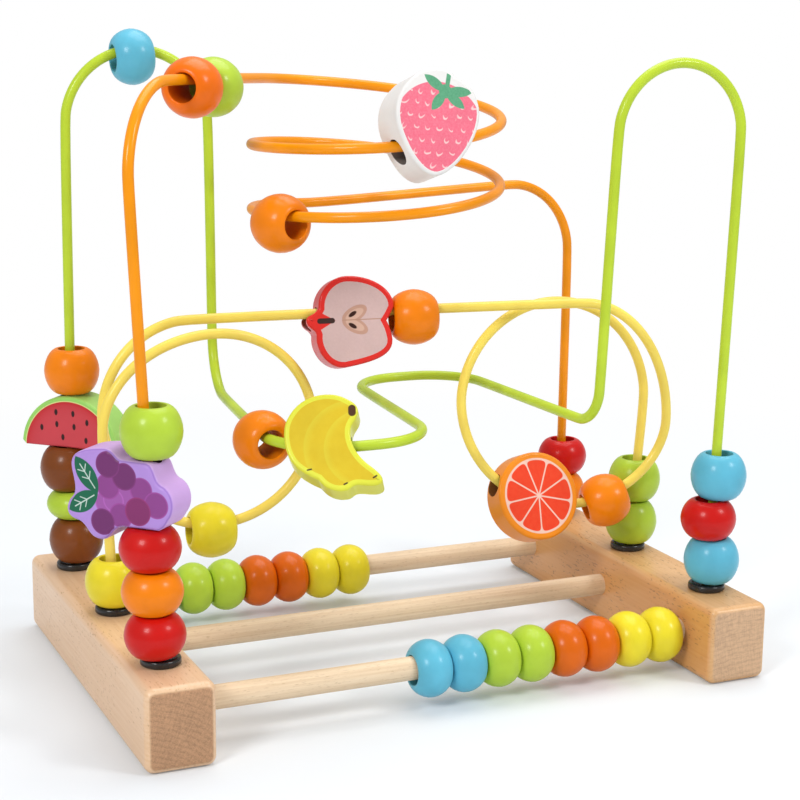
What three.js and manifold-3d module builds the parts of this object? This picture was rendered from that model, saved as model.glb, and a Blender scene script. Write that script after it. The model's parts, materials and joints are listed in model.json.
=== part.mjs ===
// Wooden bead maze: two beech blocks joined by three dowels, three bent and coated wires
// that stand in the blocks, and wooden beads and fruit threaded on the wires and dowels.
// Millimetres. X runs along the dowels to the right, Y to the back, Z up.
// The origin lies on the table, under the middle of the whole toy.

import * as THREE from "three";
import { mergeVertices } from "three/addons/utils/BufferGeometryUtils.js";
import { RoundedBoxGeometry } from "three/addons/geometries/RoundedBoxGeometry.js";
import Module from "manifold-3d";

// Fits
const fit_gap = 0.3;
const socket_wall = 2;
const hang_ease = 0.3;

// Blocks
const block_length = 200;
const block_width = 30;
const block_height = 36;
const block_edge_radius = 4;
const block_spacing = 263;

// Dowels
const dowel_diameter = 10.4;
const dowel_axis_height = 18.7;
const dowel_row_spacing = 73.2;

// Wire holes and bushes
const wire_diameter = 4.6;
const foot_spacing = 71.5;
const foot_depth = 15;
const bush_diameter = 17;
const bush_flange_height = 3;
const bush_spigot_diameter = 9;
const bush_edge_bevel = 0.8;

// Beads
const bead_diameter = 25.6;
const bead_bore = 12.8;
const bead_rim = 1.2;
const bead_swell = 1.9;
const round_bead_length = 21.2;
const flat_bead_length = 18.2;
const thin_bead_length = 13.6;
const row_bead_length = 16.4;
const row_bead_bore = 13.2;
const row_end_gap = 2.6;

// Fruit: sizes of the flat face, thickness, and how each one faces
const fruit_bore = 11;
const fruit_edge_bevel = 1.2;
const watermelon_radius = 25;
const watermelon_height = 24.4;
const watermelon_corner = 2;
const watermelon_thickness = 17;
const watermelon_turn = -43;
const watermelon_bore_offset = 2.5;
const grapes_width = 49.3;
const grapes_seat_height = 27.6;
const grapes_thickness = 17;
const grapes_turn = -47;
const strawberry_width = 39;
const strawberry_height = 44.6;
const strawberry_thickness = 20;
const strawberry_lean = 15;
const apple_width = 40.5;
const apple_height = 41.5;
const apple_thickness = 16;
const apple_lean = 13;
const banana_width = 42.2;
const banana_height = 42;
const banana_thickness = 16;
const banana_lean = 30;
const orange_slice_radius = 21;
const orange_slice_thickness = 14;
const orange_slice_lean = 22;

// Green wire: two arches and a level S between them, measured inwards from the wire's feet
const left_arch_radius = 34.2;
const left_arch_top = 279.6;
const left_arch_inset = 35.1;
const left_inner_leg_inset = 70.1;
const right_arch_radius = 31.6;
const right_arch_top = 277.6;
const right_arch_inset = 24.1;
const right_inner_leg_inset = 61.2;
const dip_height = 119;
const left_dip_bend = 26;
const right_dip_bend = 16.5;
const left_lobe_x = -78;
const left_lobe_y = -68.5;
const left_lobe_radius = 30.5;
const right_lobe_x = 64.5;
const right_lobe_y = 60.7;
const right_lobe_radius = 27;
const lobe_inner_x = 4.9;

// Orange wire: a shoulder, a coil of two turns and a second shoulder
const left_shoulder_outset = 10.8;
const left_shoulder_inset_y = 3.1;
const left_shoulder_height = 271.6;
const left_shoulder_bend = 40;
const right_shoulder_outset = 1;
const right_shoulder_height = 214.2;
const right_shoulder_bend = 37;
const coil_radius = 56;
const coil_middle_x = -7.8;
const coil_middle_y = -2.4;
const coil_top = 265.4;
const coil_bottom = 204.7;
const coil_whole_turns = 2;
const coil_slope_to_back = 0.06;

// Yellow wire: a loop on each side, measured inwards from its foot, and a level run between.
// A loop crosses from the plane of its leg to a second plane, far enough for a bead to pass.
const loop_pass_gap = 1.4;
const left_loop = {
  leg_inset: -3.9, leg_height: 116,
  top_inset: 48.8, top_height: 157.6,
  inner_inset: 97.8,
  bottom_inset: 51.5, bottom_height: 67.3, bottom_radius: 49,
  outer_inset: 0.6,
  level_inset: 41.7, level_height: 162.5,
  top_crossing: 0.25, inner_crossing: 0.5, bottom_crossing: 0.75,
};
const right_loop = {
  leg_inset: -6.5, leg_height: 110.5,
  top_inset: 46.9, top_height: 163.7,
  inner_inset: 95.3,
  bottom_inset: 39.2, bottom_height: 65.5, bottom_radius: 60.4,
  outer_inset: -9.4,
  level_inset: 41.3, level_height: 165,
  top_crossing: 0.05, inner_crossing: 0.15, bottom_crossing: 0.72,
};

// Places of the beads on the wires, from the start of the run that carries them
const arch_blue_angle = 86;
const dip_orange_from_lobe = -1;
const banana_gap = 11;
const top_orange_from_shoulder = 24;
const strawberry_coil_angle = 226;
const coil_orange_angle = 659;
const apple_along_level = 72;
const left_loop_yellow_from_bottom = 2;
const right_loop_orange_from_bottom = 17;
const orange_slice_gap = 7;

// Facets
const bead_sides = 12;
const bore_sides = 12;
const wire_sides = 8;
const dowel_sides = 16;
const bend_facet = 12;
const quarter_facets = 9;
const outline_facets = 5;

const wasm = await Module();
wasm.setup();

const toy = new THREE.Group();

const radians = THREE.MathUtils.degToRad;
const point = (x, y, z) => new THREE.Vector3(x, y, z);

// Finishes
const finish = (color, roughness, metalness = 0) => {
  return new THREE.MeshStandardMaterial({ color, roughness, metalness });
};
const beech = finish(0xd9ad82, 0.6);
const pale_wood = finish(0xe6c79f, 0.6);
const black_plastic = finish(0x1b1a1c, 0.3);
const coated = {
  green: finish(0xa5cf3a, 0.3),
  orange: finish(0xf39019, 0.3),
  yellow: finish(0xf3d65a, 0.3),
};
const lacquer = {
  blue: finish(0x5cbde4, 0.3),
  green: finish(0xb0d834, 0.3),
  orange: finish(0xf58a1f, 0.3),
  yellow: finish(0xf2e02c, 0.3),
  red: finish(0xdc2127, 0.3),
  brown: finish(0x7a4520, 0.3),
};
const fruit_paint = {
  watermelon: finish(0x7cd058, 0.4),
  grapes: finish(0xb394dc, 0.4),
  strawberry: finish(0xf2efea, 0.4),
  apple: finish(0xd92a2a, 0.4),
  banana: finish(0xe6dc3c, 0.4),
  orange_slice: finish(0xf0932a, 0.4),
};

function add(name, geometry, material) {
  const mesh = new THREE.Mesh(geometry, material);
  mesh.name = name;
  toy.add(mesh);
  return mesh;
}

// A round hole drawn with flat sides keeps its true radius at the middle of each side.
function holeRadius(radius, sides) {
  return radius / Math.cos(Math.PI / sides);
}

// Cuts
function toSolid(geometry) {
  const bare = geometry.clone();
  bare.deleteAttribute("normal");
  bare.deleteAttribute("uv");
  const merged = mergeVertices(bare, 1e-3);
  return new wasm.Manifold(new wasm.Mesh({
    numProp: 3,
    vertProperties: new Float32Array(merged.attributes.position.array),
    triVerts: new Uint32Array(merged.index.array),
  }));
}

function carve(geometry, cutters) {
  let solid = toSolid(geometry);
  for (const cutter of cutters) {
    solid = solid.subtract(toSolid(cutter));
  }
  const mesh = solid.getMesh();
  const carved = new THREE.BufferGeometry();
  carved.setAttribute("position", new THREE.BufferAttribute(mesh.vertProperties, 3));
  carved.setIndex(new THREE.BufferAttribute(mesh.triVerts, 1));
  carved.computeVertexNormals();
  return carved;
}

// A drill of the given radius and length, lying along Y until it is turned.
function drill(radius, length, sides = bore_sides) {
  return new THREE.CylinderGeometry(holeRadius(radius, sides), holeRadius(radius, sides), length, sides);
}

// Base: the blocks take the dowels' ends in blind sockets and the wires' bushes from above
const block_x = block_spacing / 2;
const block_inner_x = block_x - block_width / 2;
const bush_hole_radius = bush_spigot_diameter / 2 + fit_gap;
const bush_hole_depth = foot_depth + fit_gap;
const socket_depth = block_width / 2 - bush_hole_radius - socket_wall;
const dowel_rows = { front: -dowel_row_spacing, middle: 0, back: dowel_row_spacing };
const feet = { front: -foot_spacing, middle: 0, back: foot_spacing };
const sides = { left: -1, right: 1 };

function addBlock(side) {
  const body = new RoundedBoxGeometry(block_width, block_length, block_height, 2, block_edge_radius);
  body.translate(0, 0, block_height / 2);
  const cuts = [];
  for (const y of Object.values(feet)) {
    const hole = drill(bush_hole_radius, bush_hole_depth * 2);
    hole.rotateX(Math.PI / 2);
    hole.translate(0, y, block_height);
    cuts.push(hole);
  }
  for (const y of Object.values(dowel_rows)) {
    const socket = drill(dowel_diameter / 2 + fit_gap, socket_depth * 2, dowel_sides);
    socket.rotateZ(Math.PI / 2);
    socket.translate(-sides[side] * block_width / 2, y, dowel_axis_height);
    cuts.push(socket);
  }
  add(`${side}_block`, carve(body, cuts), beech).position.x = sides[side] * block_x;
}

function addDowel(row) {
  const length = 2 * (block_inner_x + socket_depth - fit_gap);
  const rod = new THREE.CylinderGeometry(dowel_diameter / 2, dowel_diameter / 2, length, dowel_sides);
  rod.rotateZ(Math.PI / 2);
  add(`${row}_dowel`, rod, pale_wood).position.set(0, dowel_rows[row], dowel_axis_height);
}

// A bush is a flange on the block's top with a spigot in its hole, turned about the wire.
const flange_bottom = block_height + fit_gap;
const flange_top = flange_bottom + bush_flange_height;

function addBush(side, foot) {
  const inner = holeRadius(wire_diameter / 2 + fit_gap, bore_sides);
  const outer = bush_diameter / 2;
  const spigot = bush_spigot_diameter / 2;
  const profile = [
    [inner, -foot_depth], [spigot, -foot_depth], [spigot, fit_gap], [outer, fit_gap],
    [outer, fit_gap + bush_flange_height - bush_edge_bevel],
    [outer - bush_edge_bevel, fit_gap + bush_flange_height],
    [inner, fit_gap + bush_flange_height], [inner, -foot_depth],
  ];
  const bush = new THREE.LatheGeometry(profile.map(([r, z]) => new THREE.Vector2(r, z)), bore_sides);
  bush.rotateX(Math.PI / 2);
  const mesh = add(`${side}_${foot}_bush`, bush, black_plastic);
  mesh.position.set(sides[side] * block_x, feet[foot], block_height);
}

// Wires: each is a chain of runs, drawn with rings only where a run bends
class RoundBend extends THREE.Curve {
  constructor(centre, from, along, turn) {
    super();
    this.centre = centre;
    this.radial = from.clone().sub(centre);
    this.sideways = along.clone().normalize().multiplyScalar(this.radial.length());
    this.turn = turn;
  }
  getPoint(t, target = new THREE.Vector3()) {
    const angle = this.turn * t;
    target.copy(this.centre);
    target.addScaledVector(this.radial, Math.cos(angle));
    return target.addScaledVector(this.sideways, Math.sin(angle));
  }
}

// A quarter of an oval in an upright plane, which drifts evenly in Y.
class LoopQuarter extends THREE.Curve {
  constructor(start, end, starts_upright) {
    super();
    Object.assign(this, { start, end, starts_upright });
  }
  getPoint(t, target = new THREE.Vector3()) {
    const quick = Math.sin(t * Math.PI / 2);
    const slow = 1 - Math.cos(t * Math.PI / 2);
    const share_x = this.starts_upright ? slow : quick;
    const share_z = this.starts_upright ? quick : slow;
    return target.set(
      THREE.MathUtils.lerp(this.start.x, this.end.x, share_x),
      THREE.MathUtils.lerp(this.start.y, this.end.y, t),
      THREE.MathUtils.lerp(this.start.z, this.end.z, share_z),
    );
  }
}

// The coil falls evenly as it turns clockwise, and leans so that its back is higher.
class CoilRun extends THREE.Curve {
  constructor(start_angle, turn) {
    super();
    Object.assign(this, { start_angle, turn });
  }
  getPoint(t, target = new THREE.Vector3()) {
    const angle = this.start_angle - this.turn * t;
    const back = coil_radius * Math.sin(angle);
    return target.set(
      coil_middle_x + coil_radius * Math.cos(angle),
      coil_middle_y + back,
      THREE.MathUtils.lerp(coil_top, coil_bottom, t) + coil_slope_to_back * back,
    );
  }
}

class BentWire extends THREE.Curve {
  constructor(runs) {
    super();
    this.runs = runs;
    this.starts = [0];
    this.stations = [];
    for (const run of runs) {
      this.starts.push(this.starts.at(-1) + run.curve.getLength());
      for (let k = 0; k < run.facets; k += 1) {
        this.stations.push({ curve: run.curve, t: k / run.facets });
      }
    }
    this.stations.push({ curve: runs.at(-1).curve, t: 1 });
  }
  station(u) {
    return this.stations[Math.round(u * (this.stations.length - 1))];
  }
  getPointAt(u, target) {
    const { curve, t } = this.station(u);
    return curve.getPoint(t, target);
  }
  getTangentAt(u, target) {
    const { curve, t } = this.station(u);
    return curve.getTangent(t, target);
  }
  startOf(name) {
    return this.starts[this.runs.findIndex((run) => run.name === name)];
  }
  runNamed(name) {
    return this.runs.find((run) => run.name === name).curve;
  }
  pointAtDistance(distance) {
    const last = this.runs.length - 1;
    const after = this.starts.findIndex((start) => start > distance);
    const index = after < 0 ? last : Math.max(after - 1, 0);
    const length = this.starts[index + 1] - this.starts[index];
    return this.runs[index].curve.getPointAt((distance - this.starts[index]) / length);
  }
}

const straight = (name, from, to) => ({ name, curve: new THREE.LineCurve3(from, to), facets: 1 });

// A round bend that is drawn at the corner between two straight runs.
function cornerBend(name, before, corner, after, radius) {
  const back = before.clone().sub(corner).normalize();
  const ahead = after.clone().sub(corner).normalize();
  const angle = back.angleTo(ahead);
  const reach = radius / Math.tan(angle / 2);
  const start = corner.clone().addScaledVector(back, reach);
  const middle = back.clone().add(ahead).normalize();
  const centre = corner.clone().addScaledVector(middle, radius / Math.sin(angle / 2));
  const turn = Math.PI - angle;
  const curve = new RoundBend(centre, start, back.clone().negate(), turn);
  const facets = Math.max(1, Math.ceil(THREE.MathUtils.radToDeg(turn) / bend_facet));
  return { name, curve, facets };
}

// Straight runs through the given points, with a named bend at each inner point.
function bentRuns(points, bends, straights) {
  const runs = [];
  let from = points[0];
  bends.forEach(([name, radius], k) => {
    const bend = cornerBend(name, points[k], points[k + 1], points[k + 2], radius);
    runs.push(straight(straights[k], from, bend.curve.getPoint(0)), bend);
    from = bend.curve.getPoint(1);
  });
  runs.push(straight(straights.at(-1), from, points.at(-1)));
  return runs;
}

// The angle at which a line from a point touches a circle that turns the given way.
function touchAngle(circle_x, circle_v, radius, from_x, from_v, way) {
  const away = Math.atan2(from_v - circle_v, from_x - circle_x);
  const distance = Math.hypot(from_x - circle_x, from_v - circle_v);
  return away + way * Math.acos(radius / distance);
}

// A foot stands upright in its bush and leans from there on.
const wire_bottom = block_height - foot_depth;
const footBottom = (side, foot) => point(sides[side] * block_x, feet[foot], wire_bottom);
const footTop = (side, foot) => point(sides[side] * block_x, feet[foot], flange_top);

// An arch in an upright plane: the leg from one point, the round top, the leg to another.
function archRuns(name, from, to, middle_x, top, radius) {
  const centre = point(middle_x, from.y, top - radius);
  const way = Math.sign(from.x - to.x);
  const start_angle = touchAngle(centre.x, centre.z, radius, from.x, from.z, way);
  const end_angle = touchAngle(centre.x, centre.z, radius, to.x, to.z, -way);
  const rim = (angle) => point(
    centre.x + radius * Math.cos(angle), from.y, centre.z + radius * Math.sin(angle),
  );
  const along = point(way * -Math.sin(start_angle), 0, way * Math.cos(start_angle));
  const turn = THREE.MathUtils.euclideanModulo(way * (end_angle - start_angle), 2 * Math.PI);
  const curve = new RoundBend(centre, rim(start_angle), along, turn);
  const facets = Math.ceil(THREE.MathUtils.radToDeg(turn) / bend_facet);
  return { start: rim(start_angle), end: rim(end_angle), run: { name, curve, facets } };
}

function makeGreenWire() {
  const left_corner = point(-block_x + left_inner_leg_inset, feet.back, dip_height);
  const right_corner = point(block_x - right_inner_leg_inset, feet.front, dip_height);
  const left_foot = footTop("left", "back");
  const right_foot = footTop("right", "front");
  const left = archRuns(
    "left arch", left_foot, left_corner, -block_x + left_arch_inset, left_arch_top, left_arch_radius,
  );
  const right = archRuns(
    "right arch", right_corner, right_foot, block_x - right_arch_inset, right_arch_top, right_arch_radius,
  );
  const dip = bentRuns(
    [
      left.end, left_corner,
      point(left_lobe_x, left_lobe_y, dip_height), point(-lobe_inner_x, left_lobe_y, dip_height),
      point(lobe_inner_x, right_lobe_y, dip_height), point(right_lobe_x, right_lobe_y, dip_height),
      right_corner, right.start,
    ],
    [
      ["left dip bend", left_dip_bend],
      ["left lobe", left_lobe_radius], ["left lobe end", left_lobe_radius],
      ["right lobe", right_lobe_radius], ["right lobe end", right_lobe_radius],
      ["right dip bend", right_dip_bend],
    ],
    [
      "left inner leg", "left strand", "left lobe front", "middle strand",
      "right lobe back", "right strand", "right inner leg",
    ],
  );
  return new BentWire([
    straight("left foot", footBottom("left", "back"), left_foot),
    straight("left leg", left_foot, left.start), left.run, ...dip, right.run,
    straight("right leg", right.end, right_foot),
    straight("right foot", right_foot, footBottom("right", "front")),
  ]);
}

function makeOrangeWire() {
  const left_corner = point(
    -block_x - left_shoulder_outset, feet.front + left_shoulder_inset_y, left_shoulder_height,
  );
  const right_corner = point(block_x + right_shoulder_outset, feet.back, right_shoulder_height);
  const middle = [coil_middle_x, coil_middle_y, coil_radius];
  const start_angle = touchAngle(...middle, left_corner.x, left_corner.y, -1);
  const end_angle = touchAngle(...middle, right_corner.x, right_corner.y, 1);
  const part_turn = THREE.MathUtils.euclideanModulo(start_angle - end_angle, 2 * Math.PI);
  const coil = new CoilRun(start_angle, part_turn + coil_whole_turns * 2 * Math.PI);
  const coil_facets = Math.ceil(THREE.MathUtils.radToDeg(coil.turn) / bend_facet);
  const left_foot = footTop("left", "front");
  const right_foot = footTop("right", "back");
  return new BentWire([
    straight("left foot", footBottom("left", "front"), left_foot),
    ...bentRuns(
      [left_foot, left_corner, coil.getPoint(0)],
      [["left shoulder", left_shoulder_bend]], ["left leg", "run to coil"],
    ),
    { name: "coil", curve: coil, facets: coil_facets },
    ...bentRuns(
      [coil.getPoint(1), right_corner, right_foot],
      [["right shoulder", right_shoulder_bend]], ["run from coil", "right leg"],
    ),
    straight("right foot", right_foot, footBottom("right", "back")),
  ]);
}

// The stops of a loop from its leg to the level run, where each quarter ends.
const loop_strand_spacing = bead_diameter / 2 + wire_diameter / 2 + loop_pass_gap;

function loopStops(side, loop) {
  const at = (inset) => sides[side] * (block_x - inset);
  const across = (share) => -sides[side] * loop_strand_spacing * share;
  const sideHeight = (inset) => loop.bottom_height + (loop.bottom_inset - inset) ** 2 / loop.bottom_radius;
  return [
    point(at(loop.leg_inset), 0, loop.leg_height),
    point(at(loop.top_inset), across(loop.top_crossing), loop.top_height),
    point(at(loop.inner_inset), across(loop.inner_crossing), sideHeight(loop.inner_inset)),
    point(at(loop.bottom_inset), across(loop.bottom_crossing), loop.bottom_height),
    point(at(loop.outer_inset), across(1), sideHeight(loop.outer_inset)),
    point(at(loop.level_inset), across(1), loop.level_height),
  ];
}

function loopRuns(names, stops, starts_upright) {
  return names.map((name, k) => ({
    name,
    curve: new LoopQuarter(stops[k], stops[k + 1], starts_upright === (k % 2 === 0)),
    facets: quarter_facets,
  }));
}

function makeYellowWire() {
  const left = loopStops("left", left_loop);
  const right = loopStops("right", right_loop).reverse();
  const left_names = ["left 1", "left 2", "left bottom in", "left bottom out", "left 5"];
  const right_names = ["right 1", "right bottom in", "right bottom out", "right 4", "right 5"];
  const left_foot = footTop("left", "middle");
  const right_foot = footTop("right", "middle");
  return new BentWire([
    straight("left foot", footBottom("left", "middle"), left_foot),
    straight("left leg", left_foot, left[0]),
    ...loopRuns(left_names, left, true),
    straight("level run", left.at(-1), right[0]),
    ...loopRuns(right_names, right, false),
    straight("right leg", right.at(-1), right_foot),
    straight("right foot", right_foot, footBottom("right", "middle")),
  ]);
}

function addWire(name, wire, material) {
  const section = new THREE.Shape().absarc(0, 0, wire_diameter / 2, 0, 2 * Math.PI);
  const geometry = new THREE.ExtrudeGeometry(section, {
    extrudePath: wire, steps: wire.stations.length - 1, curveSegments: wire_sides / 2,
  });
  add(name, geometry, material);
}

// Beads: a swelling ring, turned about the wire or dowel that runs through it
function beadGeometry(length, bore) {
  const inner = holeRadius(bore / 2, bead_sides);
  const end = bore / 2 + bead_rim;
  const swell = (share) => {
    const bulge = (1 - Math.abs(share) ** bead_swell) ** (1 / bead_swell);
    return new THREE.Vector2(end + (bead_diameter / 2 - end) * bulge, share * length / 2);
  };
  const outline = [-1, -0.75, 0, 0.75, 1].map(swell);
  const profile = [
    new THREE.Vector2(inner, -length / 2), ...outline, new THREE.Vector2(inner, length / 2),
    new THREE.Vector2(inner, -length / 2),
  ];
  const bead = new THREE.LatheGeometry(profile, bead_sides);
  bead.rotateX(Math.PI / 2);
  return bead;
}

// Rows: beads side by side on a dowel, hanging with the dowel at the top of their bores
const row_colours = ["blue", "blue", "green", "green", "orange", "orange", "yellow", "yellow"];
const row_pitch = row_bead_length + fit_gap;
const row_drop = (row_bead_bore - dowel_diameter) / 2 - fit_gap;
const row_length = row_colours.length * row_pitch - fit_gap;

function addRow(row, first_x) {
  row_colours.forEach((colour, k) => {
    const bead = beadGeometry(row_bead_length, row_bead_bore);
    bead.rotateY(Math.PI / 2);
    const mesh = add(`${row}_row_${colour}_${k % 2 + 1}`, bead, lacquer[colour]);
    mesh.position.set(first_x + k * row_pitch, dowel_rows[row], dowel_axis_height - row_drop);
  });
}

// Fruit: flat pieces cut from board with softened edges, bored along the wire.
// Outlines are seen from the front, with the middle of the bore at their origin.
function fruitGeometry(outline, thickness, bore_upright) {
  const depth = thickness - 2 * fruit_edge_bevel;
  const body = new THREE.ExtrudeGeometry(outline, {
    depth, bevelSegments: 1, bevelOffset: -fruit_edge_bevel,
    bevelSize: fruit_edge_bevel, bevelThickness: fruit_edge_bevel,
  });
  body.translate(0, 0, -depth / 2);
  body.computeBoundingSphere();
  const bore = drill(fruit_bore / 2, 4 * body.boundingSphere.radius);
  if (!bore_upright) {
    bore.rotateZ(Math.PI / 2);
  }
  return carve(body, [bore]);
}

// Stretches a drawn outline about its origin until its face has the given width and height.
function sized(drawn, width, height) {
  const points = drawn.getPoints(outline_facets).slice(0, -1);
  const box = new THREE.Box2().setFromPoints(points);
  const size = box.getSize(new THREE.Vector2());
  for (const p of points) {
    p.set(p.x * width / size.x, p.y * height / size.y);
  }
  return new THREE.Shape(points);
}

// A slice that lies on its cut edge.
function watermelonOutline() {
  const reach = Math.sqrt(watermelon_radius ** 2 - (watermelon_radius - watermelon_height) ** 2);
  const middle_y = watermelon_height - watermelon_radius;
  const start = Math.asin((watermelon_corner - middle_y) / watermelon_radius);
  const shape = new THREE.Shape();
  shape.moveTo(watermelon_bore_offset - reach + watermelon_corner, 0);
  shape.lineTo(watermelon_bore_offset + reach - watermelon_corner, 0);
  shape.absarc(watermelon_bore_offset, middle_y, watermelon_radius, start, Math.PI - start, false);
  const points = shape.getPoints(2 * outline_facets);
  return new THREE.Shape(points);
}

// A bunch with two leaves on its left. It is level where it rests and where a bead rests on it.
function grapesOutline() {
  const seat = bead_bore / 2 + bead_rim;
  const shape = new THREE.Shape();
  shape.moveTo(-seat, 0);
  shape.bezierCurveTo(-14, -1, -13, -6.5, -18.5, -6.5);
  shape.bezierCurveTo(-25, -6.5, -24, 0, -30, 0.5);
  shape.bezierCurveTo(-36, 2, -34, 8, -31.5, 10);
  shape.bezierCurveTo(-28, 14, -32, 20, -31.5, 24.5);
  shape.bezierCurveTo(-31, 30, -22, 31, -16, 31.6);
  shape.bezierCurveTo(-11, 31.6, -11, grapes_seat_height, -seat, grapes_seat_height);
  shape.lineTo(3, grapes_seat_height);
  shape.bezierCurveTo(8, 27, 6, 20, 11, 18.8);
  shape.bezierCurveTo(16, 16, 16.5, 9, 13, 5);
  shape.quadraticCurveTo(11, 1, seat, 0);
  shape.lineTo(-seat, 0);
  const points = shape.getPoints(outline_facets).slice(0, -1);
  const box = new THREE.Box2().setFromPoints(points);
  for (const p of points) {
    p.x *= p.x < -seat ? (grapes_width - box.max.x) / -box.min.x : 1;
  }
  return new THREE.Shape(points);
}

// A broad heart with its tip down and to the left, and room for a crown at its top.
function strawberryOutline() {
  const shape = new THREE.Shape();
  shape.moveTo(-5.5, -12.3);
  shape.bezierCurveTo(4, -12, 18, 2, 18.3, 12);
  shape.bezierCurveTo(18.3, 20, 15, 23, 10, 26);
  shape.bezierCurveTo(8, 31, -4, 31.5, -10, 26.5);
  shape.bezierCurveTo(-17, 22, -19.5, 15, -18.6, 8);
  shape.bezierCurveTo(-17, -2, -12.5, -12, -5.5, -12.3);
  return sized(shape, strawberry_width, strawberry_height);
}

// Half an apple lying on its side, with its stalk to the left.
function appleOutline() {
  const shape = new THREE.Shape();
  shape.moveTo(-21.2, -1.1);
  shape.bezierCurveTo(-21.2, 2, -17, 1, -15.4, 4.5);
  shape.bezierCurveTo(-15.5, 12, -9, 18.6, -2, 18.6);
  shape.bezierCurveTo(9, 18.8, 20.2, 12.5, 19.5, 3.8);
  shape.quadraticCurveTo(17.6, 0, 15.8, -2.3);
  shape.quadraticCurveTo(17.8, -6, 18.2, -11);
  shape.bezierCurveTo(18.2, -18.8, 8, -21, -4.7, -22.9);
  shape.bezierCurveTo(-13, -23, -18, -14, -16.9, -7.6);
  shape.bezierCurveTo(-17.5, -4.5, -21.2, -4.5, -21.2, -1.1);
  return sized(shape, apple_width, apple_height);
}

// A bunch of three, bent round to the right from its stalk.
function bananaOutline() {
  const shape = new THREE.Shape();
  shape.moveTo(12, 20);
  shape.bezierCurveTo(6.5, 23.2, -4.5, 22.2, -9.9, 14.6);
  shape.bezierCurveTo(-12.2, 11.2, -13.2, 8.5, -13.2, 5.3);
  shape.bezierCurveTo(-13.2, -0.5, -11.2, -6.6, -7.4, -9.9);
  shape.bezierCurveTo(-4.5, -12.3, -1, -14, 2.2, -15.2);
  shape.bezierCurveTo(5, -18.6, 9, -20.6, 14, -19.4);
  shape.bezierCurveTo(15.8, -18.8, 16, -17.2, 18.5, -17);
  shape.bezierCurveTo(22, -16.8, 26.5, -18, 28.4, -15.6);
  shape.bezierCurveTo(29.6, -13.4, 26.5, -10.8, 23, -8.4);
  shape.bezierCurveTo(18.5, -5.2, 14.2, 0, 14.4, 6.4);
  shape.bezierCurveTo(14.6, 9.5, 16.4, 10.6, 17, 13.2);
  shape.bezierCurveTo(17.8, 16.5, 15.5, 18.5, 12, 20);
  return sized(shape, banana_width, banana_height);
}

function orangeSliceOutline() {
  const points = new THREE.EllipseCurve(0, 0, orange_slice_radius, orange_slice_radius);
  return new THREE.Shape(points.getPoints(4 * outline_facets).slice(0, -1));
}

// The stretch of an outline that the bore runs through, from left to right, as wide as the bore.
function boreSpan(outline) {
  const crossings = [];
  const points = outline.getPoints();
  for (const level of [-fruit_bore / 2, 0, fruit_bore / 2]) {
    points.forEach((p, k) => {
      const q = points[(k + 1) % points.length];
      if ((p.y < level) !== (q.y < level)) {
        crossings.push(THREE.MathUtils.mapLinear(level, p.y, q.y, p.x, q.x));
      }
    });
  }
  return { left: Math.min(...crossings), right: Math.max(...crossings) };
}

// Stacks: beads and fruit that stand on the bush of a wire's foot. Each rests a little to one
// side of its wire, by a share of the play in its bore, and is turned about its own bore.
const lengths = { round: round_bead_length, flat: flat_bead_length, thin: thin_bead_length };
const bead_play = bead_bore / 2 - wire_diameter / 2 - fit_gap;
const fruit_play = fruit_bore / 2 - wire_diameter / 2 - fit_gap;

// Fruit in a stack stands on its lower edge and faces the front until it is turned.
function standing(outline, thickness) {
  return fruitGeometry(outline, thickness, true).rotateX(Math.PI / 2);
}

function addStack(wire, leg, pieces) {
  const line = wire.runNamed(leg);
  const low = line.v1.z < line.v2.z ? line.v1 : line.v2;
  const high = line.v1.z < line.v2.z ? line.v2 : line.v1;
  const lean = Math.hypot(high.x - low.x, high.y - low.y) / (high.z - low.z);
  let bottom = flange_top + fit_gap;
  for (const piece of pieces) {
    const height = piece.height ?? lengths[piece.kind];
    const geometry = piece.geometry ?? beadGeometry(height, bead_bore);
    const play = (piece.geometry ? fruit_play : bead_play) - lean * height / 2;
    const middle = bottom + height / 2;
    const along = (middle - low.z) / (high.z - low.z);
    const mesh = add(piece.name, geometry, piece.material);
    mesh.position.lerpVectors(low, high, along);
    mesh.position.x += play * piece.share;
    mesh.position.z = piece.geometry ? bottom : middle;
    mesh.rotation.z = radians(piece.turn ?? 0);
    bottom += height + fit_gap;
  }
}

// A piece threaded on a wire hangs as low as the wire in its bore allows. On a bend its bore
// lies half way between the wire's chord and its bow.
function hang(wire, distance, length, play) {
  const near = (offset) => wire.pointAtDistance(distance + offset);
  const chord = near(-length / 2).distanceTo(near(length / 2));
  const half = length / 2 * length / chord;
  const axis = near(half).sub(near(-half)).normalize();
  const middle = near(-half).lerp(near(half), 0.5).lerp(near(0), 0.5);
  const down = point(0, 0, -1).projectOnPlane(axis).normalize();
  const samples = 8;
  let drop = play;
  for (let k = 0; k <= samples; k += 1) {
    const offset = near(half * (2 * k / samples - 1)).sub(middle).projectOnPlane(axis);
    const sunk = offset.dot(down);
    const sideways = offset.addScaledVector(down, -sunk).length();
    drop = Math.min(drop, sunk + Math.sqrt(Math.max(play ** 2 - sideways ** 2, 0)));
  }
  return { axis, place: middle.addScaledVector(down, drop - hang_ease) };
}

function addHungBead(name, material, wire, distance, length = round_bead_length) {
  const { axis, place } = hang(wire, distance, length, bead_play);
  const mesh = add(name, beadGeometry(length, bead_bore), material);
  mesh.quaternion.setFromUnitVectors(point(0, 0, 1), axis);
  mesh.position.copy(place);
}

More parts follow.
